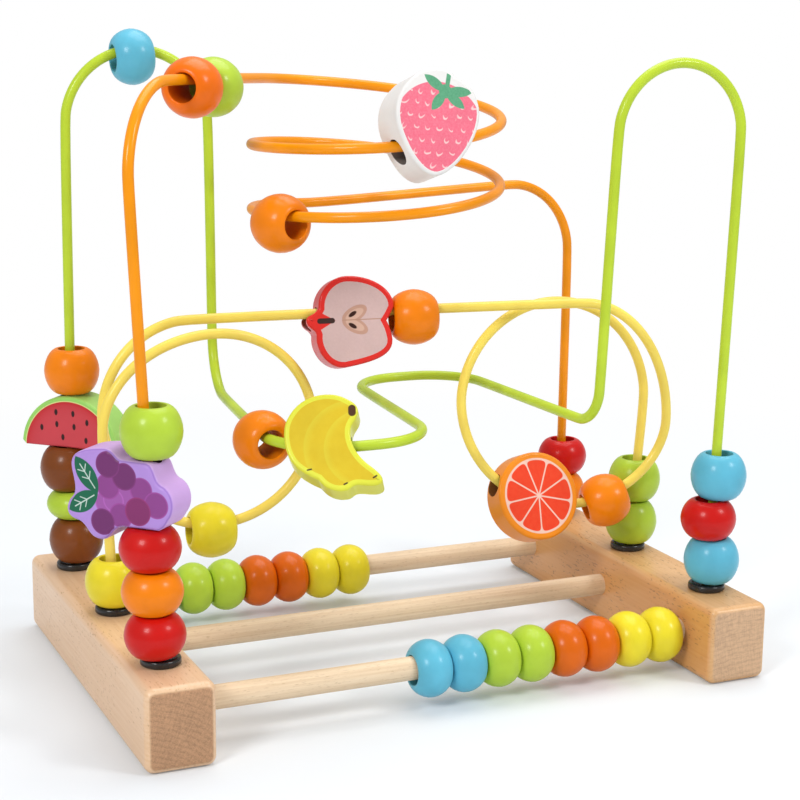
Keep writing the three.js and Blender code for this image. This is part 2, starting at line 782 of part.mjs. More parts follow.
// Fruit on a wire faces the front, square to its bore, and leans back by an angle about it.
function addHungFruit(name, outline, thickness, wire, distance, lean) {
  const span = boreSpan(outline);
  const { axis, place } = hang(wire, distance, span.right - span.left, fruit_play);
  const right = axis.x < 0 ? axis.negate() : axis;
  const level = point(right.y, -right.x, 0).normalize();
  const facing = level.applyAxisAngle(right, -radians(lean));
  const up = facing.clone().cross(right);
  const mesh = add(name, fruitGeometry(outline, thickness, false), fruit_paint[name]);
  mesh.quaternion.setFromRotationMatrix(new THREE.Matrix4().makeBasis(right, up, facing));
  mesh.position.copy(place).addScaledVector(right, -(span.left + span.right) / 2);
}

// Assembly
for (const side of Object.keys(sides)) {
  addBlock(side);
}
for (const row of Object.keys(dowel_rows)) {
  addDowel(row);
}
for (const side of Object.keys(sides)) {
  for (const foot of Object.keys(feet)) {
    addBush(side, foot);
  }
}

const green_wire = makeGreenWire();
const orange_wire = makeOrangeWire();
const yellow_wire = makeYellowWire();
addWire("green_wire", green_wire, coated.green);
addWire("orange_wire", orange_wire, coated.orange);
addWire("yellow_wire", yellow_wire, coated.yellow);

const row_end_x = block_inner_x - row_end_gap - row_bead_length / 2;
addRow("front", row_end_x + row_bead_length - row_length);
addRow("back", -row_end_x);

addStack(green_wire, "left leg", [
  { name: "left_back_brown_1", kind: "round", material: lacquer.brown, share: 0.3 },
  { name: "left_back_green", kind: "thin", material: lacquer.green, share: 0.1 },
  { name: "left_back_brown_2", kind: "round", material: lacquer.brown, share: -0.6 },
  {
    name: "watermelon", material: fruit_paint.watermelon, share: 0.2, turn: watermelon_turn,
    height: watermelon_height,
    geometry: standing(watermelonOutline(), watermelon_thickness),
  },
  { name: "left_back_orange", kind: "round", material: lacquer.orange, share: 0.2 },
]);
addStack(yellow_wire, "left leg", [
  { name: "left_middle_yellow", kind: "round", material: lacquer.yellow, share: 0.2 },
]);
addStack(orange_wire, "left leg", [
  { name: "left_front_red_1", kind: "flat", material: lacquer.red, share: -0.5 },
  { name: "left_front_orange", kind: "flat", material: lacquer.orange, share: -0.45 },
  { name: "left_front_red_2", kind: "flat", material: lacquer.red, share: -0.35 },
  {
    name: "grapes", material: fruit_paint.grapes, share: 0, turn: grapes_turn,
    height: grapes_seat_height,
    geometry: standing(grapesOutline(), grapes_thickness),
  },
  { name: "left_front_green", kind: "round", material: lacquer.green, share: 0.8 },
]);
addStack(green_wire, "right leg", [
  { name: "right_front_blue_1", kind: "round", material: lacquer.blue, share: 0.5 },
  { name: "right_front_red", kind: "flat", material: lacquer.red, share: -0.5 },
  { name: "right_front_blue_2", kind: "round", material: lacquer.blue, share: 0.6 },
]);
addStack(yellow_wire, "right leg", [
  { name: "right_middle_green_1", kind: "round", material: lacquer.green, share: 0.1 },
  { name: "right_middle_green_2", kind: "round", material: lacquer.green, share: -0.2 },
]);
addStack(orange_wire, "right leg", [
  { name: "right_back_orange", kind: "flat", material: lacquer.orange, share: 0.1 },
  { name: "right_back_red", kind: "flat", material: lacquer.red, share: 0.2 },
]);

addHungBead(
  "arch_blue", lacquer.blue, green_wire,
  green_wire.startOf("left arch") + radians(arch_blue_angle) * left_arch_radius, flat_bead_length,
);
const dip_orange_distance = green_wire.startOf("left lobe") + dip_orange_from_lobe;
addHungBead("dip_orange", lacquer.orange, green_wire, dip_orange_distance);
const banana = bananaOutline();
const banana_bore = boreSpan(banana);
addHungFruit(
  "banana", banana, banana_thickness, green_wire,
  dip_orange_distance + (round_bead_length + banana_bore.right - banana_bore.left) / 2 + banana_gap,
  banana_lean,
);

const top_orange_distance = orange_wire.startOf("run to coil") + top_orange_from_shoulder;
addHungBead("top_orange", lacquer.orange, orange_wire, top_orange_distance);
addHungBead(
  "top_green", lacquer.green, orange_wire, top_orange_distance + round_bead_length + fit_gap,
);
const coil = orange_wire.runNamed("coil");
const coilDistance = (angle) => {
  return orange_wire.startOf("coil") + coil.getLength() * radians(angle) / coil.turn;
};
addHungFruit(
  "strawberry", strawberryOutline(), strawberry_thickness, orange_wire,
  coilDistance(strawberry_coil_angle), strawberry_lean,
);
addHungBead("coil_orange", lacquer.orange, orange_wire, coilDistance(coil_orange_angle));

const apple = appleOutline();
const apple_bore = boreSpan(apple);
const apple_distance = yellow_wire.startOf("level run") + apple_along_level;
addHungFruit("apple", apple, apple_thickness, yellow_wire, apple_distance, apple_lean);
const apple_right = new THREE.Box2().setFromPoints(apple.getPoints()).max.x;
addHungBead(
  "level_orange", lacquer.orange, yellow_wire,
  apple_distance - (apple_bore.left + apple_bore.right) / 2 + apple_right + fit_gap
    + round_bead_length / 2,
);
addHungBead(
  "left_loop_yellow", lacquer.yellow, yellow_wire,
  yellow_wire.startOf("left bottom out") + left_loop_yellow_from_bottom,
);
const right_loop_orange_distance = yellow_wire.startOf("right bottom out") - right_loop_orange_from_bottom;
addHungBead("right_loop_orange", lacquer.orange, yellow_wire, right_loop_orange_distance);
addHungFruit(
  "orange_slice", orangeSliceOutline(), orange_slice_thickness, yellow_wire,
  right_loop_orange_distance + round_bead_length / 2 + orange_slice_gap + orange_slice_radius,
  orange_slice_lean,
);

// The origin goes under the middle of the toy's box.
const box = new THREE.Box3().setFromObject(toy);
const middle = box.getCenter(new THREE.Vector3());
toy.position.set(-middle.x, -middle.y, 0);
toy.updateMatrixWorld(true);

export default toy;
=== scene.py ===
import json
import math

import bmesh
import bpy
from mathutils import Euler, Matrix, Vector
from mathutils.geometry import interpolate_bezier

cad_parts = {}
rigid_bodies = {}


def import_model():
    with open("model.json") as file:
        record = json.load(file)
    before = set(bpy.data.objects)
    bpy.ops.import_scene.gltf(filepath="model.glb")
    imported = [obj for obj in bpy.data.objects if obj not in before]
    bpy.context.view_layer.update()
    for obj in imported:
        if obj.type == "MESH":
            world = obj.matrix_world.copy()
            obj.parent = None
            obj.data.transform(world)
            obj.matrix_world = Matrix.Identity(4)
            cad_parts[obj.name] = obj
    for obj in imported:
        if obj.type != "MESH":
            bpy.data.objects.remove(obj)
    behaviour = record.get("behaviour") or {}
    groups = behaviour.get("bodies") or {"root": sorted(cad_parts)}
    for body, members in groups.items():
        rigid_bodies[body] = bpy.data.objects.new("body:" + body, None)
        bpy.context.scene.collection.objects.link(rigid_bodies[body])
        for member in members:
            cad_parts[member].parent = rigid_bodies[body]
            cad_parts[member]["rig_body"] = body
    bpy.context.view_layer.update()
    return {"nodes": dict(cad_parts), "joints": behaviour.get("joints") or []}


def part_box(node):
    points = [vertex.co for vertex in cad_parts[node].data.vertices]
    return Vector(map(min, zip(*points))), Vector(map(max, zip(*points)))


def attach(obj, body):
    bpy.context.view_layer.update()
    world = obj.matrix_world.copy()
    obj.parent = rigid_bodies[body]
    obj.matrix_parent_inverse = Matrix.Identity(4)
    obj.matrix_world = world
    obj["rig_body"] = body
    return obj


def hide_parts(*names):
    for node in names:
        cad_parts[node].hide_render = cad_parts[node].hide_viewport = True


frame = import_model()


# Base blocks: two planed bars of steamed beech that the toy stands on, with their edges rounded
# over and a thin clear varnish. Each is bored for three dowels and three wire bushes.
mm = 0.001
block_long_edge = 4 * mm
block_end_edge = 3.4 * mm
beech_fleck = (0.33, 0.16, 0.06)
beech_tones = {
    "left": {
        "pale": (0.77, 0.52, 0.325), "deep": (0.69, 0.43, 0.235), "fleck": 0.4, "inner": 0.0,
        "end": (0.53, 0.29, 0.15), "end_shade": 0.62, "pith": (-150, -38),
    },
    "right": {
        "pale": (0.70, 0.42, 0.195), "deep": (0.60, 0.315, 0.115), "fleck": 0.7, "inner": 0.65,
        "end": (0.64, 0.405, 0.235), "end_shade": 0.72, "pith": (158, -110),
    },
}
ring_width = 2.3
# Painted shade laid on a block's side that faces -X; each tone's inner share says how much.
inner_side_painted_shade = (0.66, 0.27, 0.06)


class Shade:
    """One socket of a material. Sums on it add Math nodes, and node() adds any other node."""

    def __init__(self, tree, socket=None):
        self.tree = tree
        self.socket = socket

    def node(self, kind, settings=None, sockets=None, output=0):
        made = self.tree.nodes.new(kind)
        for name, value in (settings or {}).items():
            setattr(made, name, value)
        for name, value in (sockets or {}).items():
            entry = made.inputs[name]
            if isinstance(value, Shade):
                self.tree.links.new(value.socket, entry)
            elif entry.type == "RGBA":
                entry.default_value = (*value[:3], 1)
            else:
                entry.default_value = value
        return Shade(self.tree, made.outputs[output] if made.outputs else None)

    def math(self, operation, *others, clamp=False):
        sockets = dict(enumerate((self, *others)))
        return self.node("ShaderNodeMath", {"operation": operation, "use_clamp": clamp}, sockets)

    def __add__(self, other):
        return self.math("ADD", other)

    __radd__ = __add__

    def __sub__(self, other):
        return self.math("SUBTRACT", other)

    def __rsub__(self, other):
        return self.node("ShaderNodeMath", {"operation": "SUBTRACT"}, {0: other, 1: self})

    def __mul__(self, other):
        return self.math("MULTIPLY", other)

    def __truediv__(self, other):
        return self.math("DIVIDE", other)

    def __pow__(self, other):
        return self.math("POWER", other)

    def __abs__(self):
        return self.math("ABSOLUTE")

    def above(self, level, soft):
        """1 where the value is above a level, 0 below it, with a soft edge of the given width."""
        return self.math("MULTIPLY_ADD", 1 / soft, 0.5 - level / soft, clamp=True)

    def parts(self):
        split = self.tree.nodes.new("ShaderNodeSeparateXYZ")
        self.tree.links.new(self.socket, split.inputs[0])
        return [Shade(self.tree, part) for part in split.outputs]

    def mixed(self, under, over):
        """The colour under where this mask is 0, and the colour over where it is 1."""
        settings = {"data_type": "RGBA", "clamp_factor": True}
        return self.node("ShaderNodeMix", settings, {0: self, 6: under, 7: over}, output=2)

    def noise(self, stretch, detail=2.0):
        """Noise on this position, with a size in its own units along each axis."""
        settings = {"operation": "DIVIDE"}
        place = self.node("ShaderNodeVectorMath", settings, {0: self, 1: stretch})
        return self.node("ShaderNodeTexNoise", {}, {"Vector": place, "Scale": 1.0, "Detail": detail})


def make_finish(name, look):
    """A material whose Principled shader takes the sockets that look(shade) returns."""
    finish = bpy.data.materials.new(name)
    finish.use_nodes = True
    finish.node_tree.nodes.clear()
    shade = Shade(finish.node_tree)
    surface = shade.node("ShaderNodeBsdfPrincipled", {}, look(shade), output="BSDF")
    shade.node("ShaderNodeOutputMaterial", {}, {"Surface": surface})
    return finish


def position_mm(shade):
    """Where a point is on the toy, in millimetres."""
    place = shade.node("ShaderNodeTexCoord", output="Object")
    return shade.node("ShaderNodeVectorMath", {"operation": "SCALE"}, {0: place, "Scale": 1 / mm})


def bumped(height, depth):
    """The normal of a surface with this height pattern, as deep as given, in metres."""
    return height.node("ShaderNodeBump", {}, {"Height": height, "Strength": 1.0, "Distance": depth})


def add_piece(node, shape, finishes, even=False):
    """Puts a finished mesh in the place of a CAD node, on the body that carries it."""
    mesh = bpy.data.meshes.new(node + "_made")
    shape.to_mesh(mesh)
    shape.free()
    for face in mesh.polygons:
        face.use_smooth = True
    for finish in finishes:
        mesh.materials.append(finish)
    piece = bpy.data.objects.new(node + "_made", mesh)
    bpy.context.scene.collection.objects.link(piece)
    if even:
        shading = piece.modifiers.new("even shading", "WEIGHTED_NORMAL")
        shading.keep_sharp = True
    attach(piece, frame["nodes"][node]["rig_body"])
    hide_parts(node)
    return piece


def round_edges(shape, edges, radius, steps):
    bmesh.ops.bevel(
        shape, geom=edges, offset=radius, offset_type="OFFSET", affect="EDGES", segments=steps,
        profile=0.5, material=-1, clamp_overlap=False,
    )


def block_shape(node):
    low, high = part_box(node)
    shape = bmesh.new()
    bmesh.ops.create_cube(shape, size=1)
    bmesh.ops.scale(shape, vec=high - low, verts=shape.verts)
    bmesh.ops.translate(shape, vec=(low + high) / 2, verts=shape.verts)
    long_edges = [e for e in shape.edges if abs(e.verts[0].co.y - e.verts[1].co.y) > 1 * mm]
    round_edges(shape, long_edges, block_long_edge, 6)
    end_edges = [e for e in shape.edges if len(e.link_faces) == 2 and abs(e.calc_face_angle()) > 1.2]
    round_edges(shape, end_edges, block_end_edge, 5)
    return shape


def beech_look(tone):
    """Beech sawn along Y, with its pith at a place in X and Z, and painted shade on its side that faces -X.
    """
    pith_x, pith_z = tone["pith"]
    end_deep = tuple(part * tone["end_shade"] for part in tone["end"])

    def look(shade):
        place = position_mm(shade)
        x, y, z = place.parts()
        warp = place.noise((34, 150, 34), 3.0)
        out_x = x - pith_x
        out_z = z - pith_z
        radius = (out_x * out_x + out_z * out_z) ** 0.5 + warp * 9.0
        ring = ((radius * (2 * math.pi / ring_width)).math("SINE") * 0.5 + 0.5) ** 2.0
        turn = out_z.math("ARCTAN2", out_x) * 160.0
        around = shade.node("ShaderNodeCombineXYZ", {}, {0: turn, 1: radius, 2: y})
        ray = around.noise((0.42, 5.0, 3.0), 2.0).above(0.52, 0.16)
        dash = around.noise((2.2, 0.5, 6.0), 2.0).above(0.54, 0.18)
        streak = place.noise((1.1, 42, 1.1), 3.0)
        cloud = place.noise((26, 70, 26), 2.0)
        fleck = place.noise((0.85, 3.4, 0.85), 1.0).above(0.655, 0.06)
        patchy = fleck * place.noise((16, 24, 16), 1.0).above(0.46, 0.16)
        facing_x, facing_y = shade.node("ShaderNodeTexCoord", output="Normal").parts()[:2]
        end_cut = abs(facing_y).above(0.9, 0.12)
        # Painted shade: the side facing -X is darkened by the tone's inner share.
        inner = (facing_x * -1.0).above(0.85, 0.3) * (0.5 + cloud * 0.5)
        depth_of_tone = ring * 0.2 + (streak - 0.5) * 1.3 + (cloud - 0.5) * 1.2 + 0.3
        side = depth_of_tone.mixed(tone["pale"], tone["deep"])
        side = (inner * tone["inner"]).mixed(side, inner_side_painted_shade)
        side = (patchy * tone["fleck"]).mixed(side, beech_fleck)
        end_tone = ring * 0.3 + ray * 0.4 + dash * 0.45 + (cloud - 0.5) * 0.8
        end = end_tone.mixed(tone["end"], end_deep)
        pits = patchy * (1 - end_cut) * tone["fleck"] + (ring * 0.3 + ray * 0.5) * end_cut
        grain = pits * -1.0 - streak * 0.2
        return {
            "Base Color": end_cut.mixed(side, end),
            "Roughness": 0.34 + streak * 0.16 + end_cut * 0.16 + patchy * 0.1,
            "Coat Weight": 0.22 - end_cut * 0.14,
            "Coat Roughness": 0.22,
            "Normal": bumped(grain, 0.05 * mm),
        }
    return look


for side, tone in beech_tones.items():
    beech = make_finish(f"{side}_beech", beech_look(tone))
    add_piece(f"{side}_block", block_shape(f"{side}_block"), [beech], even=True)


# Dowels: three machined rods of a paler, straight-grained wood, left unstained.
# Their ends are glued into the blind sockets on the inner sides of the blocks.
dowel_end_chamfer = 0.8 * mm
dowel_sides = 48
dowel_pale = (0.80, 0.63, 0.435)
dowel_deep = (0.66, 0.475, 0.295)
dowel_pore = (0.50, 0.335, 0.19)


def dowel_shape(node):
    low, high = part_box(node)
    radius = (high.z - low.z) / 2
    shape = bmesh.new()
    bmesh.ops.create_cone(
        shape, cap_ends=True, segments=dowel_sides, radius1=radius, radius2=radius,
        depth=high.x - low.x,
    )
    rims = [e for e in shape.edges if e.calc_face_angle() > 1]
    round_edges(shape, rims, dowel_end_chamfer, 2)
    bmesh.ops.rotate(shape, cent=(0, 0, 0), matrix=Matrix.Rotation(math.pi / 2, 3, "Y"), verts=shape.verts)
    bmesh.ops.translate(shape, vec=(low + high) / 2, verts=shape.verts)
    return shape


def dowel_look(shade):
    place = position_mm(shade)
    streak = place.noise((55, 0.9, 0.9), 3.0)
    band = place.noise((140, 3.2, 3.2), 2.0)
    pore = place.noise((3.0, 0.34, 0.34), 1.0).above(0.67, 0.07)
    tone = (streak - 0.5) * 1.9 + (band - 0.5) * 1.6 + 0.4
    wood = tone.mixed(dowel_pale, dowel_deep)
    return {
        "Base Color": (pore * 0.55).mixed(wood, dowel_pore),
        "Roughness": 0.5 + streak * 0.14,
        "Normal": bumped(streak * -0.4 - pore, 0.03 * mm),
    }


dowel_wood = make_finish("dowel_wood", dowel_look)
for row in ("front", "middle", "back"):
    add_piece(f"{row}_dowel", dowel_shape(f"{row}_dowel"), [dowel_wood], even=True)


# Wire bushes: six turned rings of shiny black plastic. The spigot of each is pressed into the
# top of a block and grips the foot of a wire, and its flange covers the edge of the hole.
bush_flange = 3 * mm
bush_edge = 1.1 * mm
bush_spigot = 4.5 * mm
bush_hole = 2.4 * mm
bush_sides = 56
bush_edge_steps = 5
bush_black = (0.010, 0.0095, 0.010)
bush_dust = (0.055, 0.052, 0.05)


def turned(outline, sides):
    """A closed outline of (distance from the Z axis, height) points turned once round the axis."""
    shape = bmesh.new()
    ring = [shape.verts.new((out, 0, up)) for out, up in outline]
    for k, corner in enumerate(ring):
        shape.edges.new((corner, ring[k - 1]))
    bmesh.ops.spin(
        shape, geom=shape.verts[:] + shape.edges[:], cent=(0, 0, 0), axis=(0, 0, 1), dvec=(0, 0, 0),
        angle=2 * math.pi, steps=sides, use_merge=True, use_duplicate=False,
    )
    bmesh.ops.remove_doubles(shape, verts=shape.verts, dist=0.001 * mm)
    bmesh.ops.recalc_face_normals(shape, faces=shape.faces)
    return shape


def quarter(out, up, radius, start):
    """Points on a quarter circle round (out, up), from the angle start in quarter turns."""
    angles = [(start + k / bush_edge_steps) * math.pi / 2 for k in range(bush_edge_steps + 1)]
    return [(out + radius * math.cos(a), up + radius * math.sin(a)) for a in angles]


def bush_shape(node):
    low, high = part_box(node)
    outer = (high.x - low.x) / 2
    flange_low = high.z - bush_flange
    outline = [(bush_hole, low.z), (bush_spigot, low.z), (bush_spigot, flange_low)]
    outline += quarter(outer - bush_edge / 2, flange_low + bush_edge / 2, bush_edge / 2, -1)
    outline += quarter(outer - bush_edge, high.z - bush_edge, bush_edge, 0)
    outline += [(bush_hole, high.z)]
    shape = turned(outline, bush_sides)
    bmesh.ops.translate(shape, vec=((low.x + high.x) / 2, (low.y + high.y) / 2, 0), verts=shape.verts)
    return shape


def bush_look(shade):
    place = position_mm(shade)
    smear = place.noise((5, 5, 5), 3.0)
    dust = place.noise((0.5, 0.5, 0.5), 1.0).above(0.7, 0.06)
    return {
        "Base Color": (dust * 0.35 + smear * 0.12).mixed(bush_black, bush_dust),
        "Roughness": 0.16 + smear * 0.16 + dust * 0.2,
        "Normal": bumped(smear, 0.02 * mm),
    }


black_plastic = make_finish("black_plastic", bush_look)
for side in ("left", "right"):
    for foot in ("front", "middle", "back"):
        bush = f"{side}_{foot}_bush"
        add_piece(bush, bush_shape(bush), [black_plastic], even=True)


# Wires: three lengths of steel wire, dipped in a coloured plastic coat and then bent. Each rises
# from a bush on the left block, winds across the toy and goes down into a bush on the right.
wire_sides = 8
wire_radius = 2.3 * mm
coat_colours = {
    "green": (0.48, 0.63, 0.035),
    "orange": (0.87, 0.29, 0.002),
    "yellow": (0.90, 0.68, 0.115),
}


def wire_shape(node):
    """The CAD wire with its facets made quads and swelled by what subdivision takes off."""
    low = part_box(node)[0]
    shape = bmesh.new()
    shape.from_mesh(frame["nodes"][node].data)
    bmesh.ops.remove_doubles(shape, verts=shape.verts, dist=0.01 * mm)
    bmesh.ops.join_triangles(
        shape, faces=shape.faces, angle_face_threshold=math.radians(30), angle_shape_threshold=math.pi,
    )
    shape.normal_update()
    swell = wire_radius * (3 / (2 + math.cos(2 * math.pi / wire_sides)) - 1)
    moves = [(v, v.normal * swell) for v in shape.verts if v.co.z - low.z > 1 * mm]
    for vert, move in moves:
        vert.co += move
    return shape


def coat_look(colour):
    """A dipped coat: even and glossy, a little thicker here and there, with faint rub marks."""
    def look(shade):
        place = position_mm(shade)
        cloud = place.noise((22, 22, 22), 2.0)
        rub = place.noise((1.1, 1.1, 5.0), 2.0).above(0.62, 0.12)
        deep = tuple(part * 0.86 for part in colour)
        pale = tuple(min(part * 1.1, 0.95) for part in colour)
        return {
            "Base Color": (cloud * 1.6 - 0.3).mixed(deep, pale),
            "Roughness": 0.26 + cloud * 0.1 + rub * 0.08,
            "Specular IOR Level": 0.14,
            "Coat Weight": 0.25 - rub * 0.06,
            "Coat Roughness": 0.12,
            "Normal": bumped(cloud, 0.05 * mm),
        }
    return look


for colour_name, colour in coat_colours.items():
    coat = make_finish(f"{colour_name}_coat", coat_look(colour))
    node = f"{colour_name}_wire"
    wire = add_piece(node, wire_shape(node), [coat])
    rounding = wire.modifiers.new("rounding", "SUBSURF")
    rounding.levels = 2
    rounding.render_levels = 2


# Beads: turned wooden beads with a wide bore, dyed and lacquered in six colours. The rows slide
# on the front and back dowels, and the others are threaded on the wires before these are fixed.
bead_swell = 1.8
bead_rim = 0.5 * mm
lip_angles = (0, 0.5, 1.0)
bead_sides = 56
bead_steps = 14
row_bore = 6.6 * mm
wire_bore = 6.2 * mm
bead_radius = 12.8 * mm
hung_length = 21.2 * mm
arch_length = 18.2 * mm
lacquer_colours = {
    "blue": (0.113, 0.45, 0.61),
    "green": (0.42, 0.59, 0.045),
    "orange": (0.84, 0.215, 0.001),
    "warm_orange": (0.82, 0.15, 0.001),
    "deep_orange": (0.66, 0.12, 0.001),
    "yellow": (0.78, 0.66, 0.025),
    "red": (0.56, 0.006, 0.004),
    "brown": (0.19, 0.050, 0.009),
}
rows = ("blue_1", "blue_2", "green_1", "green_2", "orange_1", "orange_2", "yellow_1", "yellow_2")
warm_oranges = ("top_orange",)
# Degrees about Z by which a loose bead leans from the run of its wire, and how far that lifts it.
bead_lean = {"dip_orange": (10, 1.2 * mm), "right_loop_orange": (-8, 0.6 * mm)}


def bead_shape(length, outer, bore):
    """A bead on the Z axis, with a float on each vertex that is 1 in the bore."""
    lip = bore + bead_rim
    half = length / 2
    upper_lip = [(lip - bead_rim * math.cos(a), half - bead_rim * (1 - math.sin(a))) for a in lip_angles]
    outline = list(upper_lip)
    for k in range(bead_steps + 1):
        share = math.sin(math.pi * (k / bead_steps - 0.5))
        bulge = (1 - abs(share) ** bead_swell) ** (1 / bead_swell)
        outline.append((lip + (outer - lip) * bulge, -share * half))
    outline += [(out, -up) for out, up in reversed(upper_lip)]
    shape = turned(outline, bead_sides)
    in_bore = shape.verts.layers.float.new("bore")
    for vert in shape.verts:
        vert[in_bore] = 1.0 if vert.co.xy.length < bore + 0.05 * mm else 0.0
    return shape


def bead_direction(node):
    """Along the wire where a bead hangs on one, upwards in a stack, and along X on a dowel."""
    if "_row_" in node:
        return Vector((1, 0, 0))
    low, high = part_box(node)
    joint = next(j for j in frame["joints"] if j["child"] == node)
    if joint["type"] == "hinge":
        return Vector(joint["axis"]).cross((low + high) / 2 - Vector(joint["pos_m"]))
    if abs(joint["axis"][2]) > 0.9:
        return Vector((0, 0, 1))
    return Vector(joint["axis"])


def lacquer_look(colour):
    """Dyed wood under a satin lacquer, which is thinner in the bore, where the colour is darkened as painted
    shade.
    """
    def look(shade):
        place = position_mm(shade)
        cloud = place.noise((13, 13, 13), 3.0)
        peel = place.noise((1.3, 1.3, 1.3), 2.0)
        speck = place.noise((0.55, 0.55, 0.55), 1.0).above(0.73, 0.04)
        bore = shade.node("ShaderNodeAttribute", {"attribute_name": "bore"}, output="Fac")
        deep = tuple(part * 0.88 for part in colour)
        pale = tuple(min(part * 1.08, 0.95) for part in colour)
        # Painted shade for the inside of the bore.
        dark = tuple(part * 0.8 for part in colour)
        paint = (cloud * 1.8 - 0.4).mixed(deep, pale)
        paint = (speck * 0.3).mixed(paint, deep)
        return {
            "Base Color": bore.mixed(paint, dark),
            "Roughness": 0.36 + (cloud - 0.5) * 0.14 + speck * 0.1 + bore * 0.3,
            "Specular IOR Level": 0.12,
            "Coat Weight": 0.25 - bore * 0.25,
            "Coat Roughness": 0.19,
            "Normal": bumped(peel + cloud * 2.0, 0.025 * mm),
        }
    return look


lacquers = {
    name: make_finish(f"{name}_lacquer", lacquer_look(colour)) for name, colour in lacquer_colours.items()
}


def add_bead(node, colour_name):
    low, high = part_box(node)
    direction = bead_direction(node).normalized()
    lean, lift = bead_lean.get(node, (0, 0))
    direction.rotate(Euler((0, 0, math.radians(lean))))
    upright = direction.z > 0.9
    along_row = "_row_" in node
    if upright:
        length = high.z - low.z
    elif along_row:
        length = high.x - low.x
    else:
        length = arch_length if node == "arch_blue" else hung_length
    shape = bead_shape(length, bead_radius, row_bore if along_row else wire_bore)
    turn = Vector((0, 0, 1)).rotation_difference(direction).to_matrix()
    bmesh.ops.rotate(shape, cent=(0, 0, 0), matrix=turn, verts=shape.verts)
    bmesh.ops.translate(shape, vec=(low + high) / 2 + Vector((0, 0, lift)), verts=shape.verts)
    add_piece(node, shape, [lacquers[colour_name]])


for row in ("front", "back"):
    for bead in rows:
        colour_name = bead.split("_")[0]
        add_bead(f"{row}_row_{bead}", colour_name.replace("orange", "deep_orange"))
for node in frame["nodes"]:
    named = [c for c in ("blue", "green", "orange", "yellow", "red", "brown") if c in node.split("_")]
    if named and "_row_" not in node and not node.endswith(("wire", "slice")):
        add_bead(node, "warm_orange" if node in warm_oranges else named[0])


# Fruit shapes: flat pieces sawn from board along a drawn outline, with softened edges, and bored
# for the wire. They are lacquered all over, and both faces are printed.
fruit_edge = 1.2 * mm
soft_edge = 2.0 * mm
fruit_edge_steps = 5
fruit_bore = 5.5 * mm
drill_length = 200 * mm
drill_sides = 48
# Near-black painted shade for the inside of a fruit's bore.
bore_painted_shade = (0.05, 0.03, 0.02)
print_soft = 0.25
curve_points = 12


def drawn(start, strokes):
    """Points along an outline: each stroke is a line's end, or a curve's two handles and end."""
    points = []
    here = Vector((*start, 0))
    for stroke in strokes:
        corners = [Vector((stroke[k], stroke[k + 1], 0)) for k in range(0, len(stroke), 2)]
        if len(corners) == 3:
            points += interpolate_bezier(here, *corners, curve_points + 1)[:-1]
        else:
            points.append(here)
        here = corners[-1]
    return points


def scaled_to(points, width, height):
    across = max(p.x for p in points) - min(p.x for p in points)
    tall = max(p.y for p in points) - min(p.y for p in points)
    return [Vector((p.x * width / across, p.y * height / tall, 0)) for p in points]


def board_shape(points, thickness, bore_axis, edge, border=None):
    """A piece of board in its own frame, in metres: its face in XY and its bore through the origin."""
    shape = bmesh.new()
    face = shape.faces.new([shape.verts.new(p * mm) for p in points])
    bmesh.ops.translate(shape, vec=(0, 0, -thickness / 2), verts=shape.verts)
    sides = bmesh.ops.extrude_face_region(shape, geom=[face])
    raised = [v for v in sides["geom"] if isinstance(v, bmesh.types.BMVert)]
    bmesh.ops.translate(shape, vec=(0, 0, thickness), verts=raised)
    bmesh.ops.recalc_face_normals(shape, faces=shape.faces)
    rims = [e for e in shape.edges if abs(e.verts[0].co.z - e.verts[1].co.z) < 0.01 * mm]
    round_edges(shape, rims, edge, fruit_edge_steps)
    shape.normal_update()
    if border:
        flats = [f for f in shape.faces if abs(f.normal.z) > 0.999 and len(f.verts) > 12]
        bmesh.ops.inset_region(shape, faces=flats, thickness=border - edge, use_even_offset=True)
        for flat in flats:
            flat.material_index = 1
    return bored(shape, bore_axis)


def bored(shape, axis):
    """Cuts the bore along an axis, and keeps each point's place on the piece, in millimetres."""
    cutter_shape = bmesh.new()
    bmesh.ops.create_cone(
        cutter_shape, cap_ends=True, segments=drill_sides, radius1=fruit_bore, radius2=fruit_bore,
        depth=drill_length,
    )
    turn = Vector((0, 0, 1)).rotation_difference(axis).to_matrix()
    bmesh.ops.rotate(cutter_shape, cent=(0, 0, 0), matrix=turn, verts=cutter_shape.verts)
    solids = []
    for name, part in (("board", shape), ("drill", cutter_shape)):
        mesh = bpy.data.meshes.new(name)
        part.to_mesh(mesh)
        part.free()
        solid = bpy.data.objects.new(name, mesh)
        bpy.context.scene.collection.objects.link(solid)
        solids.append(solid)
    board, drill = solids
    cut = board.modifiers.new("bore", "BOOLEAN")
    cut.object = drill
    cut.operation = "DIFFERENCE"
    cut.solver = "EXACT"
    result = bmesh.new()
    result.from_object(board, bpy.context.evaluated_depsgraph_get())
    for solid in solids:
        bpy.data.meshes.remove(solid.data)
    bmesh.ops.triangulate(result, faces=result.faces, quad_method="BEAUTY", ngon_method="BEAUTY")
    in_bore = result.faces.layers.float.new("bore")
    on_piece = result.verts.layers.float_vector.new("on_piece")
    for vert in result.verts:
        vert[on_piece] = vert.co / mm
    for face in result.faces:
        reach = max((v.co - axis * v.co.dot(axis)).length for v in face.verts)
        face[in_bore] = 1.0 if reach < fruit_bore + 0.02 * mm else 0.0
    for edge in result.edges:
        edge.smooth = len({face[in_bore] for face in edge.link_faces}) == 1
    return result


def place_on_piece(shade):
    """Across, up and through a fruit, in millimetres from the middle of its bore."""
    return shade.node("ShaderNodeAttribute", {"attribute_name": "on_piece"}, output="Vector")


def printed_face(z, thickness):
    """1 on the two flat faces of a fruit, and 0 on its sides."""
    return abs(z).above(thickness / mm / 2 - 0.5, 0.2)


def distance(x, y, at):
    across = x - at[0]
    up = y - at[1]
    return (across * across + up * up) ** 0.5


def disc(x, y, at, radius, soft=print_soft):
    return (radius - distance(x, y, at)).above(0, soft)


